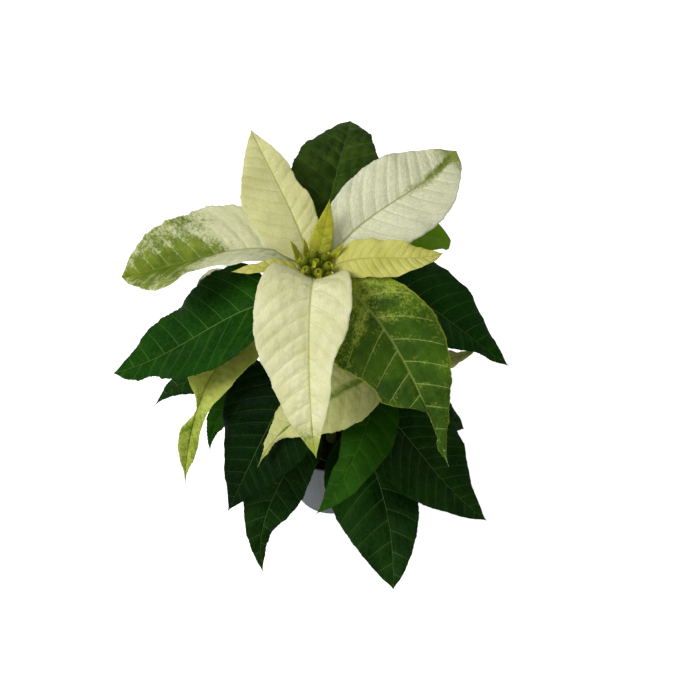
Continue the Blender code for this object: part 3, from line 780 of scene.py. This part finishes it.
class Nodes:
    """Adds nodes to a shader tree and links them. A value is a number, a colour or a node's socket."""

    def __init__(self, tree):
        self.tree = tree

    def add(self, kind, inputs=(), **settings):
        """New node of a kind, with its settings and the values of its inputs."""
        node = self.tree.nodes.new("ShaderNode" + kind)
        for name, value in settings.items():
            setattr(node, name, value)
        for key, value in dict(inputs).items():
            self.feed(node.inputs[key], value)
        return node

    def feed(self, socket, value):
        """Links a socket to another node's, or sets it to a number or a colour."""
        if isinstance(value, bpy.types.NodeSocket):
            self.tree.links.new(value, socket)
        else:
            socket.default_value = (*value, 1) if socket.type == "RGBA" else value

    def math(self, operation, *values):
        """Result of an operation on numbers."""
        return self.add("Math", enumerate(values), operation=operation).outputs[0]

    def times(self, a, b):
        """a b."""
        return self.math("MULTIPLY", a, b)

    def times_add(self, a, b, c):
        """a b + c."""
        return self.math("MULTIPLY_ADD", a, b, c)

    def step(self, value, low, high, start=0.0, end=1.0):
        """Smooth step from start to end as the value goes from low to high."""
        keys = {"Value": value, "From Min": low, "From Max": high, "To Min": start, "To Max": end}
        return self.add("MapRange", keys, interpolation_type="SMOOTHSTEP").outputs[0]

    def mix(self, share, a, b):
        """Colour a with a share of colour b."""
        return self.add("Mix", {0: share, 6: a, 7: b}, data_type="RGBA").outputs[2]

    def painted(self, colour, layers):
        """A colour under layers, each a share and a colour of its own."""
        for share, paint in layers:
            colour = self.mix(share, colour, paint)
        return colour

    def noise(self, scale, detail=2.0, roughness=0.5):
        """Noise in the object's own space."""
        place = self.add("TexCoord").outputs["Object"]
        inputs = {"Vector": place, "Scale": scale, "Detail": detail, "Roughness": roughness}
        return self.add("TexNoise", inputs).outputs[0]

    def map(self, name):
        """The two coordinates of one of the piece's UV maps."""
        split = self.add("SeparateXYZ", {0: self.add("UVMap", uv_map=name).outputs[0]})
        return split.outputs[0], split.outputs[1]

    def group(self, tree, inputs=()):
        """Outputs of a node that stands for a group."""
        return self.add("Group", inputs, node_tree=tree).outputs


def new_group(name, inputs, outputs):
    """Shader node group with float inputs (name: default) and outputs, and the ends of its tree."""
    tree = bpy.data.node_groups.new(name, "ShaderNodeTree")
    for key, value in inputs.items():
        socket = tree.interface.new_socket(key, in_out="INPUT", socket_type="NodeSocketFloat")
        socket.default_value = value
    for key in outputs:
        tree.interface.new_socket(key, in_out="OUTPUT", socket_type="NodeSocketFloat")
    return Nodes(tree), tree.nodes.new("NodeGroupInput"), tree.nodes.new("NodeGroupOutput")


def vein_group():
    """Masks of a blade's rib, side veins and net, its place along and across, and the height for a bump."""
    n, given, result = new_group(
        "blade_veins",
        {"Rib Width": 0.006, "Vein Width": 0.05},
        ("Along", "Across", "Rib", "Veins", "Net", "Between", "Height"),
    )
    along, both = n.map("place")
    across = n.math("ABSOLUTE", n.times_add(both, 2.0, -1.0))
    phase, out = n.map("veins")
    phase = n.times(phase, VEIN_MAP)
    out = n.math("ABSOLUTE", n.math("SUBTRACT", out, 0.5))
    near = n.math("ABSOLUTE", n.math("SUBTRACT", n.math("FRACT", n.math("ADD", phase, 0.5)), 0.5))
    vein_width = n.times(given.outputs["Vein Width"], n.times_add(across, -0.6, 1.0))
    vein = n.times(n.step(near, 0.0, vein_width, 1.0, 0.0), n.step(across, 1.0, 0.86))
    rib_width = n.times(given.outputs["Rib Width"], n.times_add(along, -0.75, 1.0))
    rib = n.step(out, 0.0, rib_width, 1.0, 0.0)
    spot = n.add("CombineXYZ", {0: phase, 1: n.times(out, 16.0), 2: n.times(both, 3.0)}).outputs[0]
    inputs = {"Vector": spot, "Scale": 2.4, "Randomness": 0.9}
    net = n.add("TexVoronoi", inputs, feature="DISTANCE_TO_EDGE").outputs[0]
    height = n.times_add(n.step(net, 0.0, 0.3), 0.35, n.step(near, 0.0, 0.32))
    for key, value in (
        ("Along", along),
        ("Across", across),
        ("Rib", rib),
        ("Veins", vein),
        ("Net", n.step(net, 0.0, 0.12, 1.0, 0.0)),
        ("Between", near),
        ("Height", n.times_add(rib, -0.6, height)),
    ):
        n.feed(result.inputs[key], value)
    return n.tree


def stain_group():
    """Share of green in a pale bract: more at the tip and along the rib, broken up by patches and grain."""
    inputs = {**dict.fromkeys(MARKS, 0.0), **Stain().inputs()}
    n, given, result = new_group("green_stain", inputs, ("Green",))
    g = given.outputs
    tip = n.times(g["Tip"], n.step(g["Along"], g["Tip From"], g["Tip To"]))
    by_rib = n.step(g["Across"], 0.0, g["Rib Width"], 1.0, 0.0)
    by_rib = n.times(by_rib, n.step(g["Along"], g["Rib From"], g["Rib To"]))
    inner = n.times(n.step(g["Between"], 0.06, 0.4), n.step(g["Across"], 0.45, 0.95, 1.0, 0.0))
    green = n.times_add(g["Rib"], by_rib, n.math("ADD", g["Base"], tip))
    green = n.times_add(n.times(g["Pillows"], inner), n.step(green, 0.0, 0.4), green)
    patches = n.times_add(n.noise(130.0, 3.0, 0.6), 3.0, -1.5)
    grain = n.times_add(n.noise(760.0, 3.0, 0.7), 3.6, -1.8)
    broken = n.times_add(g["Patches"], patches, n.times(g["Grain"], grain))
    green = n.math("ADD", green, n.times(broken, n.step(green, 0.0, 0.35)))
    green = n.math("SUBTRACT", green, n.times(g["Pale Veins"], g["Veins"]))
    n.feed(result.inputs["Green"], n.step(green, 0.15, 0.85))
    return n.tree


def skin_group():
    """Fine skin that all parts of the plant share: slow change of shade, and the grain of its cells."""
    n, given, result = new_group("plant_skin", {"Cell Scale": 2200.0}, ("Shade", "Cells"))
    n.feed(result.inputs["Shade"], n.noise(60.0, 3.0, 0.6))
    n.feed(result.inputs["Cells"], n.noise(given.outputs["Cell Scale"]))
    return n.tree


def new_material(name, roughness, translucence=0.0, gloss=0.3):
    """Material with a Principled shader. translucence is its subsurface weight, gloss its specular level."""
    made = bpy.data.materials.new(name)
    made.use_nodes = True
    shader = made.node_tree.nodes["Principled BSDF"]
    for key, value in (
        ("Roughness", roughness),
        ("Subsurface Weight", translucence),
        ("Subsurface Radius", (1.0, 1.0, 0.4)),
        ("Subsurface Scale", 0.0012),
        ("Specular IOR Level", gloss),
    ):
        shader.inputs[key].default_value = value
    return made, Nodes(made.node_tree), shader


def coated(nodes, shader, colour, height, strength, distance):
    """Gives a shader its colour, and bumps its surface by a height."""
    nodes.feed(shader.inputs["Base Color"], colour)
    bump = nodes.add("Bump", {"Strength": strength, "Distance": distance, "Height": height})
    nodes.feed(shader.inputs["Normal"], bump.outputs[0])


def bract_material(name, look, groups):
    """Pale bract with a green stain. Veins are darker on the pale skin and lighter on the green one."""
    made, n, shader = new_material(name, 0.55, 0.3, gloss=0.15)
    v = n.group(groups["veins"], {"Rib Width": 0.013, "Vein Width": look.vein_width})
    skin = n.group(groups["skin"])
    stained = n.group(groups["stain"], {**{key: v[key] for key in MARKS}, **look.stain.inputs()})["Green"]
    colour = n.mix(n.step(skin["Shade"], 0.3, 0.7), look.pale, look.shaded)
    leafy = n.mix(n.step(skin["Shade"], 0.35, 0.65), look.green, look.deep)
    clear = n.math("SUBTRACT", 1.0, stained)
    drawn = n.times(v["Veins"], n.math("MAXIMUM", clear, look.lines))
    layers = (
        (stained, leafy),
        (n.times(drawn, 0.8), look.vein),
        (n.times(n.times(v["Net"], clear), 0.28), look.vein),
        (n.times(v["Rib"], 0.75), look.rib),
        (n.step(v["Across"], 0.96, 0.99, 0.0, look.edge), look.pale),
    )
    coated(n, shader, n.painted(colour, layers), n.times_add(skin["Cells"], 0.12, v["Height"]), 0.42, 0.0006)
    return made


def leaf_material(name, look, groups):
    """Green leaf with thin pale veins and a slow change of green."""
    made, n, shader = new_material(name, look.roughness, gloss=0.04)
    v = n.group(groups["veins"], {"Vein Width": 0.045})
    skin = n.group(groups["skin"])
    colour = n.mix(n.step(skin["Shade"], 0.3, 0.72), look.dark, look.light)
    layers = (
        (n.times(n.step(v["Between"], 0.05, 0.4), 0.35), look.dark),
        (n.times(v["Net"], 0.1), look.vein),
        (n.times(v["Veins"], 0.7), look.vein),
        (n.times(v["Rib"], 0.9), look.rib),
    )
    coated(n, shader, n.painted(colour, layers), n.times_add(skin["Cells"], 0.1, v["Height"]), 0.5, 0.0004)
    return made


def plain_material(name, groups, first, second, roughness, translucence=0.1):
    """Stalk, stem or gland: two shades of one colour with fine grain."""
    made, n, shader = new_material(name, roughness, translucence)
    skin = n.group(groups["skin"], {"Cell Scale": 1600.0})
    colour = n.mix(n.step(skin["Shade"], 0.35, 0.65), first, second)
    coated(n, shader, colour, skin["Cells"], 0.4, 0.0002)
    return made


def make_looks(groups):
    """Each look's slot and its three materials: the upper side, the underside and the rib."""
    pale_rib = plain_material("pale_rib", groups, (0.46, 0.5, 0.16), (0.56, 0.6, 0.26), 0.5)
    green_rib = plain_material("green_rib", groups, (0.16, 0.24, 0.06), (0.22, 0.3, 0.09), 0.5)
    looks = {}
    for name, look in BRACT_LOOKS.items():
        bract = bract_material(name, look, groups)
        looks[name] = (look.slot, (bract, bract, pale_rib))
    leaves = {name: leaf_material(name, look, groups) for name, look in LEAF_LOOKS.items()}
    for name, leaf in leaves.items():
        looks[name] = (LEAF_LOOKS[name].slot, (leaf, leaves["leaf_underside"], green_rib))
    return looks


# Stem, flowers, soil and pot


def stem_shell(shoot):
    """Stem with a swelling at each node: its radius is r + swell exp(-(z/spread)^2)."""
    share = np.linspace(0, 1, shoot.stations)
    line = cubic(shoot.points, share)
    forward = unit(np.gradient(line, axis=0))
    across = unit(np.cross(forward, [0, 1, 0]))
    other = np.cross(forward, across)
    radius = shoot.foot_radius + (shoot.top_radius - shoot.foot_radius) * share
    nodes = np.array([b.node for b in BLADES if b.shoot == shoot.name])
    swell = np.exp(-(((line[:, 2:] - nodes) / NODE_SPREAD) ** 2)).sum(1)
    radius = radius + NODE_SWELL * np.minimum(swell, 1)
    return tube_shell(line, across, other, radius, STEM_SIDES)


def build_stem(groups):
    """The main stem and the side shoots in one piece."""
    look = plain_material("stem_skin", groups, (0.075, 0.14, 0.022), (0.13, 0.2, 0.04), 0.5)
    points, faces = joined([stem_shell(shoot) for shoot in SHOOTS])
    installed(new_piece("stem_skin", points, faces, [look]), "stem")


def turned_shell(profile, sides, ripple=None):
    """Surface of revolution of (radius, height) points. ripple(angle, share) scales the radius."""
    angle = TURN * np.arange(sides) / sides
    share = np.linspace(0, 1, len(profile))
    scale = ripple(angle[None], share[:, None]) if ripple else 1
    radius = profile[:, :1] * scale * np.ones((1, sides))
    height = profile[:, 1:] * np.ones((1, sides))
    points = np.stack([radius * np.cos(angle), radius * np.sin(angle), height], -1).reshape(-1, 3)
    return points, outward(points, capped_grid(len(profile), sides))


def eased(profile, count):
    """A profile's points drawn through again by a smooth curve (Catmull-Rom), with more of them."""
    p = np.asarray(profile, float)
    p = np.concatenate([[2 * p[0] - p[1]], p, [2 * p[-1] - p[-2]]])
    t = np.linspace(0, len(p) - 3 - 1e-9, count)
    i = t.astype(int)
    f = (t - i)[:, None]
    a, b, c, d = p[i], p[i + 1], p[i + 2], p[i + 3]
    curve = 0.5 * (2 * b + (c - a) * f + (2 * a - 5 * b + 4 * c - d) * f**2 + (3 * b - a - 3 * c + d) * f**3)
    return np.maximum(curve, [POINT, -1])


def placed(shell, matrix):
    """A shell, moved by a matrix."""
    points, faces = shell
    m = np.array(matrix)
    return points @ m[:3, :3].T + m[:3, 3], faces


def head_frame(shoot):
    """Matrix that stands a flower head on the end of a shoot, a gap above it, with +Z along the shoot."""
    top, before = (Vector(shoot.points[k]) for k in (3, 2))
    along = (top - before).normalized()
    return Matrix.Translation(top + along * GAP) @ along.to_track_quat("Z", "Y").to_matrix().to_4x4()


def cup_shells(head, size, spread, bearing, tilt):
    """A flower: a green urn with a puckered star-shaped mouth, and a yellow two-lipped gland at its side."""
    seat = Matrix.Rotation(math.radians(bearing), 4, "Z") @ Matrix.Translation((spread, 0, CUP_SEAT * size))
    seat = head @ seat @ Matrix.Rotation(math.radians(tilt), 4, "Y")
    out, up = GLAND_PLACE
    side = Matrix.Translation((out * size, 0, up * size)) @ Matrix.Rotation(math.radians(GLAND_TILT), 4, "Y")
    urn = eased(np.array(URN) * size, 32)
    urn = turned_shell(urn, FLOWER_SIDES, lambda a, s: 1 + 0.26 * np.cos(5 * a) * smooth(s, 0.62, 0.86))
    gland = eased(np.array(GLAND) * size, 14)
    gland = turned_shell(gland, FLOWER_SIDES, lambda a, s: 1 + 0.3 * np.cos(2 * a))
    return [placed(urn, seat), placed(gland, seat @ side)]


def scale_shell(head, size, bearing, reach):
    """A cupped scale: half width 2.3 sin(pi u^0.75) mm, lifted by u^1.6 and by its sides."""
    u = np.linspace(0, 1, SCALE_ROWS)[:, None]
    v = np.linspace(-1, 1, SCALE_COLUMNS)[None]
    bulge = np.sin(math.pi * u**0.75)
    x = 0.003 + reach * u + 0 * v
    y = (0.0023 * bulge + 0.00006) * v
    z = 0.0004 + 0.0032 * u**1.6 + 0.0013 * v**2 * bulge
    layers = [np.stack([x, y, z + lift], -1).reshape(-1, 3) for lift in (0.00016, -0.00016)]
    points = np.concatenate(layers) * size
    faces = outward(points, np.concatenate(sheet_faces(SCALE_ROWS, SCALE_COLUMNS)))
    return placed((points, faces), head @ Matrix.Rotation(math.radians(bearing), 4, "Z"))


def build_flowers(name, shoot, size, cups, spread, looks):
    """Head of flowers: a dome, one cup in the middle, a ring of cups, and scales that stand out."""
    head = head_frame(shoot)
    turned = [placed(turned_shell(eased(np.array(DOME) * size, 14), FLOWER_SIDES), head)]
    turned += cup_shells(head, size, 0, 0, 0)
    scales = []
    for i in range(cups):
        turned += cup_shells(head, size, spread, 360 * (i + 0.5) / cups, CUP_TILT)
        scales.append(scale_shell(head, size, 360 * i / cups + SCALE_TURN, 0.007 + 0.0008 * (i % 2)))
    points, faces = joined(turned + scales)
    kinds = [0] + [0, 1] * (1 + cups) + [1] * cups
    kind = np.concatenate([np.full(len(shell[1]), k) for shell, k in zip(turned + scales, kinds)])
    rise = [np.repeat(np.linspace(0, 1, len(p) // FLOWER_SIDES), FLOWER_SIDES) for p, _ in turned]
    rise = np.concatenate(rise + [np.full(len(p), 0.5) for p, _ in scales])[faces]
    piece = new_piece(name + "_cups", points, faces, looks, kind, {"place": np.stack([rise, rise], -1)})
    installed(piece, name)


def flower_material(groups):
    """Green flower that turns olive at its rim, and a darker tan inside its mouth: painted shade in the
    hollow.
    """
    made, n, shader = new_material("flower_skin", 0.5, 0.15, gloss=0.12)
    skin = n.group(groups["skin"], {"Cell Scale": 1500.0})
    rise = n.map("place")[0]
    colour = n.mix(n.step(skin["Shade"], 0.35, 0.65), (0.095, 0.125, 0.003), (0.17, 0.2, 0.007))
    colour = n.mix(n.step(rise, 0.55, 0.78), colour, (0.26, 0.27, 0.02))
    # Painted shade: the hollow of the mouth is darker tan
    colour = n.mix(n.step(rise, 0.8, 0.93), colour, (0.16, 0.14, 0.02))
    coated(n, shader, colour, skin["Cells"], 0.5, 0.0003)
    return made


def soil_material(name, dark, light):
    """Peat, bark or dry wood: two shades in coarse grains, with lighter fibres and specks."""
    made, n, shader = new_material(name, 0.95, gloss=0.1)
    coarse = n.noise(420.0, 4.0, 0.7)
    fine = n.noise(2600.0, 3.0, 0.6)
    colour = n.mix(n.step(coarse, 0.35, 0.7), dark, light)
    colour = n.mix(n.times(n.step(fine, 0.62, 0.75), 0.5), colour, (0.09, 0.06, 0.035))
    coated(n, shader, colour, n.times_add(fine, 0.4, coarse), 0.9, 0.0008)
    return made


def peat_height(x, y):
    """Height of the peat's top at a place: two crossed waves make lumps and two bent ones make grains."""
    lumps = 0.0011 * (np.sin(610 * x + 1.3) * np.sin(540 * y - 0.4) + 0.6 * np.sin(1150 * x - 930 * y)) / 1.6
    grains = 0.00035 * np.sin(3900 * x + 2 * np.sin(2300 * y)) * np.sin(3400 * y + 2 * np.sin(2700 * x))
    return SOIL_TOP - 0.0008 + lumps + grains


def build_soil():
    """Peat: a solid with a lumpy top round the stem's foot."""
    rings, sides = 46, 150
    top = np.linspace(SOIL_RADIUS, STEM_HOLE, rings)
    radius = np.concatenate([[POINT, PEAT_FOOT_RADIUS], top, [STEM_HOLE, POINT]])
    angle = TURN * np.arange(sides) / sides
    x, y = radius[:, None] * np.cos(angle), radius[:, None] * np.sin(angle)
    z = peat_height(x, y)
    z[:2] = PEAT_FOOT
    z[-2:] = HOLE_FLOOR
    body = np.stack([x, y, z], -1).reshape(-1, 3)
    faces = outward(body, capped_grid(len(radius), sides))
    peat = soil_material("peat", (0.008, 0.005, 0.003), (0.03, 0.019, 0.011))
    installed(new_piece("peat", body, faces, [peat]), "soil")


def build_litter():
    """Crumbs of bark strewn over the peat, each a rough lump of its own size and turn, and one dry twig."""
    rng = np.random.default_rng(4)
    lump, lump_faces = turned_shell(eased(((0, -1), (0.8, -0.7), (1, 0), (0.75, 0.6), (0, 0.9)), 6), 6)
    bodies = lump * rng.uniform(0.00035, 0.0012, (CRUMBS, 1, 1)) * rng.uniform(0.5, 1.2, (CRUMBS, 1, 3))
    bodies = bodies * rng.uniform(0.75, 1.2, (CRUMBS, len(lump), 1))
    turn = rng.uniform(0, TURN, CRUMBS)[:, None]
    bearing = rng.uniform(0, TURN, CRUMBS)
    reach = np.sqrt(rng.uniform(0.0068**2, 0.0255**2, CRUMBS))
    spot_x, spot_y = (reach * np.cos(bearing))[:, None], (reach * np.sin(bearing))[:, None]
    x = bodies[..., 0] * np.cos(turn) - bodies[..., 1] * np.sin(turn) + spot_x
    y = bodies[..., 0] * np.sin(turn) + bodies[..., 1] * np.cos(turn) + spot_y
    z = bodies[..., 2] + peat_height(spot_x, spot_y) + 0.0001
    points = np.stack([x, y, z], -1).reshape(-1, 3)
    faces = (lump_faces + len(lump) * np.arange(CRUMBS)[:, None, None]).reshape(-1, 4)
    bark = soil_material("bark", (0.012, 0.007, 0.004), (0.06, 0.036, 0.02))
    crumbs = new_piece("bark_crumbs", points, faces, [bark])
    share = np.linspace(0, 1, 30)
    path = cubic(TWIG, share)
    forward = unit(np.gradient(path, axis=0))
    across = unit(np.cross(forward, (0, 0, 1)))
    radii = 0.00045 * (1 - 0.5 * share) * (1 + 0.2 * np.sin(23 * share) * np.sin(57 * share))
    points, faces = tube_shell(path, across, np.cross(across, forward), radii, 12)
    dry = soil_material("dry_twig", (0.16, 0.12, 0.09), (0.34, 0.28, 0.22))
    twig = new_piece("twig", points, faces, [dry])
    for piece in (crumbs, twig):
        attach(piece, "root")


def pot_material():
    """Moulded grey plastic, satin, with faint flow marks, and painted shade that darkens it from the foot to
    the rim.
    """
    made, n, shader = new_material("moulded_plastic", 0.42)
    height = n.add("SeparateXYZ", {0: n.add("TexCoord").outputs["Object"]}).outputs[2]
    flow = n.noise(45.0, 3.0, 0.6)
    # Painted shade: lighter at the foot and darker towards the rim, which the leaves shade
    colour = n.mix(n.step(height, 0.0, 0.055), (0.185, 0.2, 0.215), (0.135, 0.15, 0.16))
    colour = n.mix(n.times(n.step(flow, 0.4, 0.7), 0.3), colour, (0.21, 0.23, 0.24))
    n.feed(shader.inputs["Roughness"], n.step(flow, 0.3, 0.7, 0.36, 0.52))
    coated(n, shader, colour, n.noise(1800.0), 0.15, 0.0002)
    return made


# Stage


def floor_material():
    """White paper that glows for the camera alone, so that it stays white in the plant's soft shadow."""
    made, n, shader = new_material("white_paper", 0.9, gloss=0.0)
    shader.inputs["Base Color"].default_value = (0.8, 0.8, 0.8, 1)
    shader.inputs["Emission Color"].default_value = (1, 1, 1, 1)
    seen = n.add("LightPath").outputs["Is Camera Ray"]
    n.feed(shader.inputs["Emission Strength"], n.times(seen, FLOOR_GLOW))
    return made


def staged(name, data, place=(0, 0, 0), turn=(0, 0, 0)):
    """Object of the stage at a place, turned by three angles."""
    made = bpy.data.objects.new(name, data)
    made.location = place
    made.rotation_euler = turn
    bpy.context.collection.objects.link(made)
    return made


def build_stage():
    """Pale floor, weak light from all sides, a lamp high at the left, one in front, and the camera."""
    mesh = bpy.data.meshes.new("floor")
    mesh.from_pydata([(-6, -6, 0), (6, -6, 0), (6, 6, 0), (-6, 6, 0)], [], [(0, 1, 2, 3)])
    mesh.materials.append(floor_material())
    floor = staged("floor", mesh)

    world = bpy.data.worlds.new("studio")
    world.use_nodes = True
    n = Nodes(world.node_tree)
    seen = n.add("LightPath").outputs["Is Camera Ray"]
    background = world.node_tree.nodes["Background"]
    background.inputs["Color"].default_value = (1, 1, 1, 1)
    n.feed(background.inputs["Strength"], n.times_add(seen, 1 - WORLD_LIGHT, WORLD_LIGHT))
    bpy.context.scene.world = world

    for name, place, size, power in LAMPS:
        lamp = bpy.data.lights.new(name, "AREA")
        lamp.shape = "SQUARE"
        lamp.size = size
        lamp.energy = power
        staged(name, lamp, place, (Vector(LAMP_AIM) - Vector(place)).to_track_quat("-Z", "Y").to_euler())

    camera = bpy.data.cameras.new("camera")
    camera.sensor_width = SENSOR
    camera.lens = CAMERA_LENS
    camera.clip_start = 0.01
    camera.clip_end = 50
    view = staged("camera", camera, CAMERA_PLACE, (math.radians(90 - CAMERA_DOWN), 0, 0))
    bpy.context.scene.camera = view
    bpy.context.scene.view_settings.view_transform = "Standard"


def main():
    """Builds the stage, dresses the part and gives the pot its material."""
    build_stage()
    groups = {"veins": vein_group(), "stain": stain_group(), "skin": skin_group()}
    looks = make_looks(groups)
    for blade in BLADES:
        build_blade(blade, *looks[blade.look])
    build_stem(groups)
    cup = flower_material(groups)
    gland = plain_material("gland_skin", groups, (0.42, 0.42, 0.012), (0.27, 0.3, 0.008), 0.4, 0.15)
    for shoot, (name, size, cups, spread) in zip(SHOOTS, HEADS):
        build_flowers(name, shoot, size, cups, spread, (cup, gland))
    build_soil()
    build_litter()
    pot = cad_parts["pot"]
    pot.data.materials.clear()
    pot.data.materials.append(pot_material())


main()
